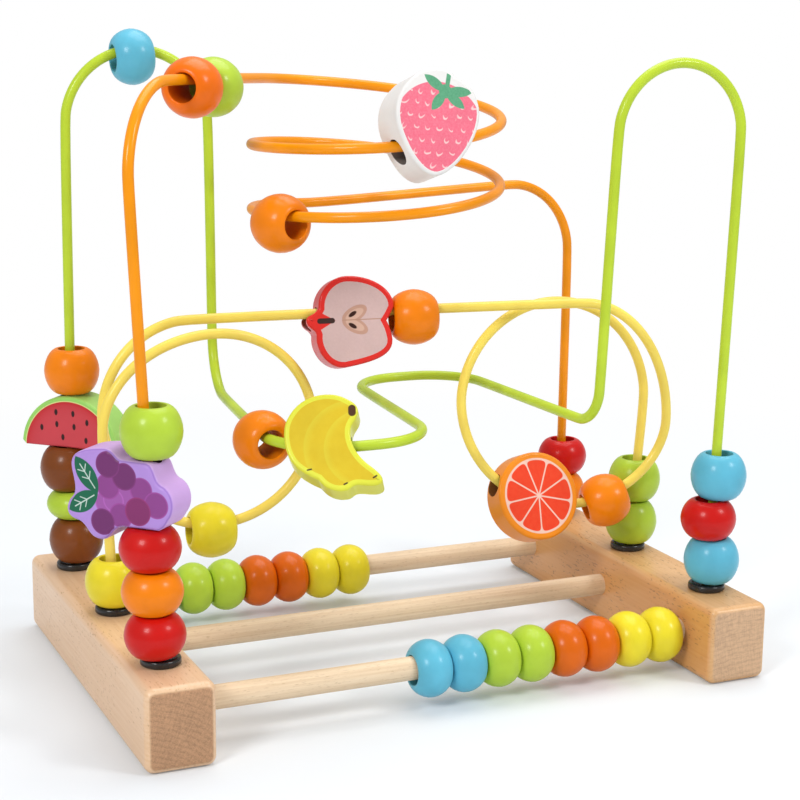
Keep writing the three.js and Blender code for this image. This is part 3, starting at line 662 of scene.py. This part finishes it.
def oval(x, y, at, long, wide, angle):
    """An oval with its long way turned by an angle in degrees."""
    c = math.cos(math.radians(angle))
    s = math.sin(math.radians(angle))
    across = x - at[0]
    up = y - at[1]
    far = (across * c + up * s) / long
    side = (up * c - across * s) / wide
    return ((1 - (far * far + side * side) ** 0.5) * min(long, wide)).above(0, print_soft)


def leaf(x, y, root, tip, width):
    """A pointed leaf between two circles that cross at its root and its tip."""
    root = Vector(root)
    tip = Vector(tip)
    half = (tip - root).length / 2
    radius = (half * half + width * width / 4) / width
    middle = (root + tip) / 2
    side = (tip - root).orthogonal().normalized() * (radius - width / 2)
    one = disc(x, y, middle + side, radius)
    other = disc(x, y, middle - side, radius)
    return one.math("MINIMUM", other)


def bar(x, y, start, end, width):
    """A straight stroke with rounded ends."""
    start = Vector(start)
    end = Vector(end)
    along = (end - start).normalized()
    middle = (start + end) / 2
    straight = ((end - start).length - width) / 2
    across = x - middle.x
    up = y - middle.y
    far = (abs(across * along.x + up * along.y) - straight).math("MAXIMUM", 0.0)
    side = up * along.x - across * along.y
    return (width / 2 - (far * far + side * side) ** 0.5).above(0, print_soft)


def painted(shade, colour, sheen=0.0):
    """The sockets of a lacquered or printed surface whose colour is a tuple or a pattern."""
    place = position_mm(shade)
    cloud = place.noise((15, 15, 15), 3.0)
    fibre = place.noise((0.9, 0.9, 0.9), 2.0)
    bore = shade.node("ShaderNodeAttribute", {"attribute_name": "bore"}, output="Fac")
    tone = 0.9 + cloud * 0.2
    grey = shade.node("ShaderNodeCombineColor", {}, {0: tone, 1: tone, 2: tone})
    settings = {"data_type": "RGBA", "blend_type": "MULTIPLY"}
    toned = shade.node("ShaderNodeMix", settings, {0: 1.0, 6: colour, 7: grey}, output=2)
    return {
        # Painted shade: the bore is darkened most of the way to near black.
        "Base Color": (bore * 0.8).mixed(toned, bore_painted_shade),
        "Roughness": 0.42 - sheen + (cloud - 0.5) * 0.12 + bore * 0.3,
        "Specular IOR Level": 0.15,
        "Coat Weight": 0.12 + sheen - bore * 0.1,
        "Coat Roughness": 0.14,
        "Normal": bumped(fibre + cloud * 2.0, 0.02 * mm),
    }


def add_fruit(node, shape, at, angles, finishes):
    """Turns a fruit by angles about X, Y and Z in degrees and puts its bore at its place."""
    turn = Euler([math.radians(angle) for angle in angles], "XYZ").to_matrix()
    bmesh.ops.rotate(shape, cent=(0, 0, 0), matrix=turn, verts=shape.verts)
    bmesh.ops.translate(shape, vec=Vector(at) * mm, verts=shape.verts)
    add_piece(node, shape, finishes, even=True)


# Watermelon: half a round slice that stands on its cut edge in the left back stack. The curved
# edge is leaf green and the faces have red flesh, dark seeds and a thin pale line inside the rind.
melon_radius = 25.0
melon_middle = (2.5, -0.6)
melon_corner = 2.0
melon_rind = 2.4
melon_thickness = 17 * mm
melon_at = (-122.640, 71.5, 96.5)
melon_angles = (90, 0, -43)
melon_flesh = (0.55, 0.055, 0.07)
melon_flesh_edge = (0.50, 0.016, 0.020)
melon_seed = (0.03, 0.010, 0.010)
melon_line = (0.68, 0.68, 0.28)
melon_line_width = 0.4
melon_green = (0.30, 0.60, 0.13)
melon_side_green = (0.36, 0.66, 0.16)
melon_side_red = (0.60, 0.075, 0.085)
melon_seeds = (
    (-3.9, 16.7), (5.0, 16.5), (-11.6, 8.9), (-3.6, 11.0), (5.4, 10.3), (12.2, 12.8), (-0.6, 5.0),
    (11.5, 4.2), (19.0, 9.0),
)


def melon_points():
    start = math.asin((melon_corner - melon_middle[1]) / melon_radius)
    reach = math.sqrt(melon_radius ** 2 - melon_middle[1] ** 2) - melon_corner
    steps = 5 * curve_points
    arc = [start + (math.pi - 2 * start) * k / steps for k in range(steps + 1)]
    middle_x, middle_y = melon_middle
    points = [(middle_x + melon_radius * math.cos(a), middle_y + melon_radius * math.sin(a)) for a in arc]
    points += [(middle_x - reach, 0), (middle_x + reach, 0)]
    return [Vector((*point, 0)) for point in points]


def melon_look(shade):
    x, y, z = place_on_piece(shade).parts()
    out = distance(x, y, melon_middle)
    flesh_edge = melon_radius - melon_rind
    flesh = (out / flesh_edge) ** 9.0
    colour = flesh.mixed(melon_flesh, melon_flesh_edge)
    for at in melon_seeds:
        colour = oval(x, y, at, 1.5, 0.85, 90).mixed(colour, melon_seed)
    colour = out.above(flesh_edge, print_soft).mixed(colour, melon_line)
    colour = out.above(flesh_edge + melon_line_width, print_soft).mixed(colour, melon_green)
    edge = (y - 0.6).above(0, 0.3).mixed(melon_side_red, melon_side_green)
    return painted(shade, printed_face(z, melon_thickness).mixed(edge, colour))


melon = board_shape(melon_points(), melon_thickness, Vector((0, 1, 0)), fruit_edge)
add_fruit("watermelon", melon, melon_at, melon_angles, [make_finish("melon_paint", melon_look)])


# Grapes: a bunch with two leaves, sawn as one lilac board. It stands on edge in the left front
# stack, with overlapping round grapes and veined leaves printed on its faces.
grapes_thickness = 17 * mm
grapes_at = (-126.748, -70.571, 95.1)
grapes_angles = (90, 0, -47)
grapes_seat = 7.6
grapes_width = 49.3
grapes_top = 27.6
grape_dark = (0.155, 0.030, 0.135)
grape_middle = (0.25, 0.055, 0.24)
grape_red = (0.215, 0.030, 0.13)
grape_pale = (0.33, 0.095, 0.35)
grape_ring = 0.5
grape_leaf = (0.012, 0.125, 0.065)
grape_vein = (0.55, 0.66, 0.60)
grapes_print = (0.42, 0.25, 0.635)
grapes_side = (0.58, 0.365, 0.74)
grapes_rim = (0.33, 0.19, 0.55)


def grapes_points():
    points = drawn((-grapes_seat, 0), [
        (-14, -1, -13, -6.5, -18.5, -6.5),
        (-25, -6.5, -24, 0, -30, 0.5),
        (-36, 2, -34, 8, -31.5, 10),
        (-28, 14, -32, 20, -31.5, 24.5),
        (-31, 30, -22, 31, -16, 31.6),
        (-11, 31.6, -11, grapes_top, -grapes_seat, grapes_top),
        (3, grapes_top),
        (8, 27, 6, 20, 11, 18.8),
        (16, 16, 16.5, 9, 13, 5),
        (11.7, 2.3, 9.9, 0.7, grapes_seat, 0),
    ])
    reach = grapes_width - max(p.x for p in points)
    stretch = -reach / min(p.x for p in points)
    return [Vector((p.x * stretch if p.x < -grapes_seat else p.x, p.y, 0)) for p in points]


def grapes_look(shade):
    x, y, z = place_on_piece(shade).parts()
    colour = grapes_print
    for at, radius, grape in (
        ((-15.0, 9.3), 5.0, grape_pale), ((-7.0, 13.6), 5.4, grape_pale), ((-11.5, 10.8), 4.8, grape_pale),
        ((-13.9, 16.4), 5.4, grape_middle), ((1.3, 16.4), 5.2, grape_middle),
        ((-8.2, 4.8), 5.3, grape_middle),
        ((-6.4, 21.1), 5.6, grape_dark), ((-13.9, 25.3), 5.5, grape_dark), ((-16.7, 1.4), 5.5, grape_dark),
        ((8.1, 10.9), 5.5, grape_middle), ((-0.3, 7.4), 5.9, grape_red),
    ):
        ring = tuple(part * 1.3 for part in grape)
        colour = disc(x, y, at, radius).mixed(colour, ring)
        colour = disc(x, y, at, radius - grape_ring, 0.5).mixed(colour, grape)
    for root, tip in (((-18.7, 13.1), (-29.0, 27.2)), ((-18.7, 13.1), (-32.4, 4.6))):
        colour = leaf(x, y, root, tip, 8.2).mixed(colour, grape_leaf)
        spine = Vector(tip) - Vector(root)
        vein_start = Vector(root) + spine * 0.12
        vein_end = Vector(root) + spine * 0.8
        colour = bar(x, y, vein_start, vein_end, 0.45).mixed(colour, grape_vein)
        across = spine.orthogonal().normalized()
        for share, way in ((0.38, 1), (0.38, -1), (0.58, 1), (0.58, -1)):
            start = Vector(root) + spine * share
            end = start + spine.normalized() * 2.4 + across * way * 2.4
            colour = bar(x, y, start, end, 0.38).mixed(colour, grape_vein)
    rim = abs(z).above(grapes_thickness / mm / 2 - 1.1, 0.5)
    board = rim.mixed(grapes_side, grapes_rim)
    return painted(shade, printed_face(z, grapes_thickness).mixed(board, colour))


grapes = board_shape(grapes_points(), grapes_thickness, Vector((0, 1, 0)), soft_edge)
add_fruit("grapes", grapes, grapes_at, grapes_angles, [make_finish("grapes_paint", grapes_look)])


# Strawberry: a thick white heart threaded low down on the coil. A pink print with pale curved
# seeds and a green crown stops short of its edge, so that a white border shows.
strawberry_thickness = 20 * mm
strawberry_at = (3.660, -56.814, 242.123)
strawberry_angles = (75, -4.901, 2.544)
strawberry_border = 1.6 * mm
strawberry_white = (0.76, 0.74, 0.72)
strawberry_pinks = ((0.78, 0.115, 0.19), (0.79, 0.20, 0.27))
strawberry_greens = ((0.07, 0.29, 0.15), (0.12, 0.38, 0.21))
strawberry_seed = (0.86, 0.62, 0.60)
seed_across = 5.4
seed_up = 5.1


def strawberry_points():
    return scaled_to(drawn((-5.5, -12.3), [
        (4, -12, 18, 2, 18.3, 12),
        (18.3, 20, 15, 23, 10, 26),
        (8, 31, -4, 31.5, -10, 26.5),
        (-17, 22, -19.5, 15, -18.6, 8),
        (-17, -2, -12.5, -12, -5.5, -12.3),
    ]), 39, 44.6)


def strawberry_look(shade):
    x, y = place_on_piece(shade).parts()[:2]
    tilt = math.radians(-11)
    sway = place_on_piece(shade).noise((6, 6, 6), 1.0) * 5.0
    across = x * math.cos(tilt) + y * math.sin(tilt) + sway
    up = y * math.cos(tilt) - x * math.sin(tilt) + sway * 0.7
    row = (up / seed_up).math("FLOOR")
    stagger = row.math("MODULO", 2.0).math("ABSOLUTE") * 0.5
    seed_x = ((across / seed_across + stagger).math("FRACT") - 0.5) * seed_across
    seed_y = ((up / seed_up).math("FRACT") - 0.5) * seed_up
    outer = disc(seed_x, seed_y, (0, 0), 1.15, 0.3)
    inner = disc(seed_x, seed_y, (0.15, 0.5), 0.98, 0.3)
    seeds = (outer - inner).math("MAXIMUM", 0.0)
    heart = disc(x, y, (-1.6, 5.2), 20.9)
    grain = position_mm(shade).noise((0.8, 0.8, 0.8), 2.0)
    pink = (grain * 1.6 - 0.3).mixed(*strawberry_pinks)
    colour = heart.mixed(strawberry_white, (seeds * 0.85).mixed(pink, strawberry_seed))
    crown_middle = (4.6, 21.4)
    crown = bar(x, y, (5.2, 21.5), (8.2, 29.6), 2.0)
    for tip in ((-3.6, 29.4), (17.0, 19.6), (12.0, 13.2), (-3.2, 14.4)):
        crown = crown.math("MAXIMUM", leaf(x, y, crown_middle, tip, 4.4))
    crown = crown.math("MAXIMUM", disc(x, y, crown_middle, 3.0))
    green = (grain * 1.6 - 0.3).mixed(*strawberry_greens)
    colour = crown.mixed(colour, green)
    return painted(shade, colour)


def strawberry_white_look(shade):
    return painted(shade, strawberry_white)


strawberry = board_shape(
    strawberry_points(), strawberry_thickness, Vector((1, 0, 0)), fruit_edge, strawberry_border,
)
strawberry_finishes = [
    make_finish("strawberry_white", strawberry_white_look), make_finish("strawberry_print", strawberry_look),
]
add_fruit("strawberry", strawberry, strawberry_at, strawberry_angles, strawberry_finishes)


# Apple: half an apple lying on its side on the level run of the yellow wire, with its stalk to the
# left. It is lacquered red, with pale flesh, a core and two seeds printed inside the red skin.
apple_thickness = 16 * mm
apple_at = (-10.146, 3.361, 160.895)
apple_angles = (77, -0.783, -10.389)
apple_skin = 2.6 * mm
apple_red = (0.68, 0.026, 0.020)
apple_seam = -1.4
apple_flesh = ((0.55, 0.385, 0.37), (0.62, 0.45, 0.435))
apple_core = (0.49, 0.285, 0.215)
apple_core_inner = (0.60, 0.385, 0.30)
apple_line = (0.42, 0.24, 0.17)
apple_seed = (0.035, 0.012, 0.008)
apple_stalk = (0.045, 0.022, 0.018)


def apple_points():
    return scaled_to(drawn((-21.2, -1.1), [
        (-21.2, 2, -17, 1, -15.4, 4.5),
        (-15.5, 12, -9, 18.6, -2, 18.6),
        (9, 18.8, 20.2, 12.5, 19.5, 3.8),
        (18.2, 1.2, 17.0, -0.7, 15.8, -2.3),
        (17.1, -4.8, 17.9, -7.7, 18.2, -11),
        (18.2, -18.8, 8, -21, -4.7, -22.9),
        (-13, -23, -18, -14, -16.9, -7.6),
        (-17.5, -4.5, -21.2, -4.5, -21.2, -1.1),
    ]), 40.5, 41.5)


def apple_look(shade):
    x, y = place_on_piece(shade).parts()[:2]
    speckle = position_mm(shade).noise((1.0, 1.0, 1.0), 3.0)
    colour = speckle.mixed(*apple_flesh)
    core = oval(x, y, (0.9, 1.2), 6.4, 3.3, 28).math("MAXIMUM", oval(x, y, (0.9, -4.0), 6.4, 3.3, -28))
    colour = core.mixed(colour, apple_core)
    inner = oval(x, y, (0.9, 1.0), 4.6, 2.0, 28).math("MAXIMUM", oval(x, y, (0.9, -3.8), 4.6, 2.0, -28))
    colour = inner.mixed(colour, apple_core_inner)
    colour = bar(x, y, (-5, apple_seam), (13.4, apple_seam), 0.45).mixed(colour, apple_line)
    for at, angle in (((0.0, 1.2), 32), ((-0.2, -4.1), -32)):
        colour = oval(x, y, at, 2.1, 0.95, angle).mixed(colour, apple_seed)
    notch = ((-8.0 - x) * 0.58 - abs(y - apple_seam)).above(0, 0.3)
    colour = notch.mixed(colour, apple_red)
    colour = bar(x, y, (-16.4, apple_seam), (-8.2, apple_seam), 2.5).mixed(colour, apple_stalk)
    return painted(shade, colour)


def apple_skin_look(shade):
    return painted(shade, apple_red, 0.08)


apple = board_shape(apple_points(), apple_thickness, Vector((1, 0, 0)), fruit_edge, apple_skin)
apple_finishes = [make_finish("apple_skin", apple_skin_look), make_finish("apple_print", apple_look)]
add_fruit("apple", apple, apple_at, apple_angles, apple_finishes)


# Banana: a bunch of three bent round the dip of the green wire. The board is lacquered lime
# yellow, and golden fruit with a brown stalk end and dark tips is printed inside a lime border.
banana_thickness = 16 * mm
banana_at = (-51.308, -61.593, 117.632)
banana_angles = (60, 0, -27.216)
banana_border = 2.3 * mm
banana_lime = (0.68, 0.69, 0.05)
banana_golds = ((0.66, 0.50, 0.022), (0.61, 0.42, 0.010))
banana_stalk = (0.075, 0.030, 0.010)
banana_tip = (0.05, 0.03, 0.012)
banana_pale = (0.64, 0.53, 0.03)
banana_tips = (
    ((-2.8, -11.6), (-0.6, -11.0)), ((12.8, -17.4), (14.6, -16.4)), ((24.8, -14.2), (26.6, -13.0)),
)


def banana_points():
    return scaled_to(drawn((12, 20), [
        (6.5, 23.2, -4.5, 22.2, -9.9, 14.6),
        (-12.2, 11.2, -13.2, 8.5, -13.2, 5.3),
        (-13.2, -0.5, -11.2, -6.6, -7.4, -9.9),
        (-4.5, -12.3, -1, -14, 2.2, -15.2),
        (5, -18.6, 9, -20.6, 14, -19.4),
        (15.8, -18.8, 16, -17.2, 18.5, -17),
        (22, -16.8, 26.5, -18, 28.4, -15.6),
        (29.6, -13.4, 26.5, -10.8, 23, -8.4),
        (18.5, -5.2, 14.2, 0, 14.4, 6.4),
        (14.6, 9.5, 16.4, 10.6, 17, 13.2),
        (17.8, 16.5, 15.5, 18.5, 12, 20),
    ]), 42.2, 42)


def banana_look(inside):
    """The lime border, or the golden fruit inside it, with the dark marks that cross both."""
    def look(shade):
        x, y, z = place_on_piece(shade).parts()
        colour = banana_lime
        if inside:
            colour = position_mm(shade).noise((4, 4, 4), 2.0).mixed(*banana_golds)
            for at, radius in (((15.7, -0.9), 19.7), ((20.8, -1.2), 16.3)):
                out = distance(x, y, at) - radius
                rise = out.above(-1.0, 2.6) * (1 - out.above(0.7, 0.4))
                colour = (rise * 0.8).mixed(colour, banana_pale)
        printed = printed_face(z, banana_thickness)
        stalk = bar(x, y, (15.0, 12.4), (14.6, 17.4), 3.2) * printed
        colour = stalk.mixed(colour, banana_stalk)
        for start, end in banana_tips:
            colour = (bar(x, y, start, end, 0.7) * printed).mixed(colour, banana_tip)
        return painted(shade, colour, 0.0 if inside else 0.06)
    return look


banana = board_shape(banana_points(), banana_thickness, Vector((1, 0, 0)), fruit_edge, banana_border)
banana_finishes = [
    make_finish("banana_lime", banana_look(False)), make_finish("banana_print", banana_look(True)),
]
add_fruit("banana", banana, banana_at, banana_angles, banana_finishes)


# Orange slice: a round slice threaded at the foot of the right loop of the yellow wire, with
# an orange rind, a pale pith and nine red-orange segments printed round its middle.
slice_radius = 21.0
slice_thickness = 14 * mm
slice_at = (79.715, -9.542, 70.462)
slice_angles = (68, 20.631, -6.739)
slice_rind = 2.9
slice_segments = 9
slice_first_turn = math.radians(88)
slice_orange = (0.82, 0.25, 0.010)
slice_side = (0.82, 0.27, 0.02)
slice_pith = (0.84, 0.55, 0.46)
slice_pulp = ((0.80, 0.035, 0.008), (0.82, 0.075, 0.022))


def slice_points():
    steps = 8 * curve_points
    turns = [2 * math.pi * k / steps for k in range(steps)]
    return [Vector((slice_radius * math.cos(a), slice_radius * math.sin(a), 0)) for a in turns]


def slice_look(shade):
    x, y, z = place_on_piece(shade).parts()
    out = distance(x, y, (0, 0))
    turn = (y.math("ARCTAN2", x) - slice_first_turn) * (slice_segments / (2 * math.pi)) + 20.0
    from_divider = (0.5 - abs(turn.math("FRACT") - 0.5)) * (2 * math.pi / slice_segments)
    to_divider = out * from_divider.math("SINE") - 0.35
    to_pith = slice_radius - slice_rind - 1.0 - out
    segment = to_divider.math("SMOOTH_MIN", to_pith, 3.6).above(0, print_soft)
    pulp_place = shade.node("ShaderNodeCombineXYZ", {}, {0: turn * 5.0, 1: out * 0.35, 2: 0.0})
    pulp = pulp_place.noise((1, 1, 1), 2.0)
    colour = segment.mixed(slice_pith, pulp.mixed(*slice_pulp))
    colour = out.above(slice_radius - slice_rind, print_soft).mixed(colour, slice_orange)
    return painted(shade, printed_face(z, slice_thickness).mixed(slice_side, colour), 0.04)


orange_slice = board_shape(slice_points(), slice_thickness, Vector((1, 0, 0)), fruit_edge)
add_fruit("orange_slice", orange_slice, slice_at, slice_angles, [make_finish("slice_paint", slice_look)])


# Floor and light: a plain white studio sweep under broad soft lamps. The floor and the backdrop
# read as white to the camera, and the floor still takes the toy's shadow.
floor_radius = 6.0
floor_colour = (0.74, 0.775, 0.81)
floor_gap = 0.2 * mm
room_light = 0.5
floor_glow = 0.15
floor_fade = (0.42, 0.4)


def floor_surface(shade):
    lit = shade.node("ShaderNodeBsdfDiffuse", {}, {"Color": floor_colour}, output="BSDF")
    glow = shade.node("ShaderNodeEmission", {}, {"Color": (1, 1, 1), "Strength": 1.0}, output="Emission")
    x, y = shade.node("ShaderNodeTexCoord", output="Object").parts()[:2]
    away = distance(x, y, (0, 0)).above(*floor_fade)
    seen = shade.node("ShaderNodeLightPath", output="Is Camera Ray")
    share = seen * (floor_glow + away * (1 - floor_glow))
    return shade.node("ShaderNodeMixShader", {}, {0: share, 1: lit, 2: glow}, output="Shader")


floor_shape = bmesh.new()
bmesh.ops.create_circle(floor_shape, cap_ends=True, segments=96, radius=floor_radius)
bmesh.ops.translate(floor_shape, vec=(0, 0, -floor_gap), verts=floor_shape.verts)
floor_mesh = bpy.data.meshes.new("floor")
floor_shape.to_mesh(floor_mesh)
floor_shape.free()
floor_white = bpy.data.materials.new("floor_white")
floor_white.use_nodes = True
floor_white.node_tree.nodes.clear()
floor_shade = Shade(floor_white.node_tree)
floor_shade.node("ShaderNodeOutputMaterial", {}, {"Surface": floor_surface(floor_shade)})
floor_mesh.materials.append(floor_white)
floor = bpy.data.objects.new("floor", floor_mesh)
bpy.context.scene.collection.objects.link(floor)

world = bpy.data.worlds.new("studio")
bpy.context.scene.world = world
world.use_nodes = True
world.node_tree.nodes.clear()
sky = Shade(world.node_tree)
looked_at = sky.node("ShaderNodeLightPath", output="Is Camera Ray")
room = looked_at * (1 - room_light) + room_light
backdrop = sky.node("ShaderNodeBackground", {}, {"Color": (1, 1, 1), "Strength": room}, output="Background")
sky.node("ShaderNodeOutputWorld", {}, {"Surface": backdrop})


def add_lamp(name, at, aim, size, watts):
    lamp = bpy.data.lights.new(name, "AREA")
    lamp.shape = "SQUARE"
    lamp.size = size
    lamp.energy = watts
    holder = bpy.data.objects.new(name, lamp)
    holder.location = at
    holder.rotation_mode = "QUATERNION"
    holder.rotation_quaternion = (Vector(aim) - Vector(at)).to_track_quat("-Z", "Y")
    bpy.context.scene.collection.objects.link(holder)


middle = Vector((0, 0, 0.1))
add_lamp("top_softbox", at=(0.3, 0.25, 1.4), aim=middle, size=1.1, watts=13)
add_lamp("left_softbox", at=(-1.1, -0.8, 1.0), aim=middle, size=0.42, watts=11)
add_lamp("right_softbox", at=(0.9, -1.0, 1.1), aim=middle, size=0.38, watts=8.5)


# Camera: the photograph's view, from the left of the front and a little above.
camera_turn = math.radians(-24.03)
camera_rise = math.radians(12.14)
camera_roll = math.radians(0.61)
camera_distance = 858.8 * mm
camera_target = Vector((16.4, 0, 121.0)) * mm
picture_width = 800
focal_pixels = 1848.3
optical_middle = (404.5, 400.3)

lens = bpy.data.cameras.new("photograph")
lens.sensor_width = 36
lens.lens = focal_pixels / picture_width * lens.sensor_width
lens.shift_x = (picture_width / 2 - optical_middle[0]) / picture_width
lens.shift_y = (optical_middle[1] - picture_width / 2) / picture_width
camera = bpy.data.objects.new("photograph", lens)
back = Vector((
    math.sin(camera_turn) * math.cos(camera_rise), -math.cos(camera_turn) * math.cos(camera_rise),
    math.sin(camera_rise),
))
level_right = Vector((0, 0, 1)).cross(back).normalized()
level_up = back.cross(level_right)
right = level_right * math.cos(camera_roll) + level_up * math.sin(camera_roll)
up = back.cross(right)
camera.matrix_world = Matrix.Translation(camera_target + back * camera_distance) @ (
    Matrix((right, up, back)).transposed().to_4x4()
)
bpy.context.scene.collection.objects.link(camera)
bpy.context.scene.camera = camera
bpy.context.scene.view_settings.view_transform = "Standard"
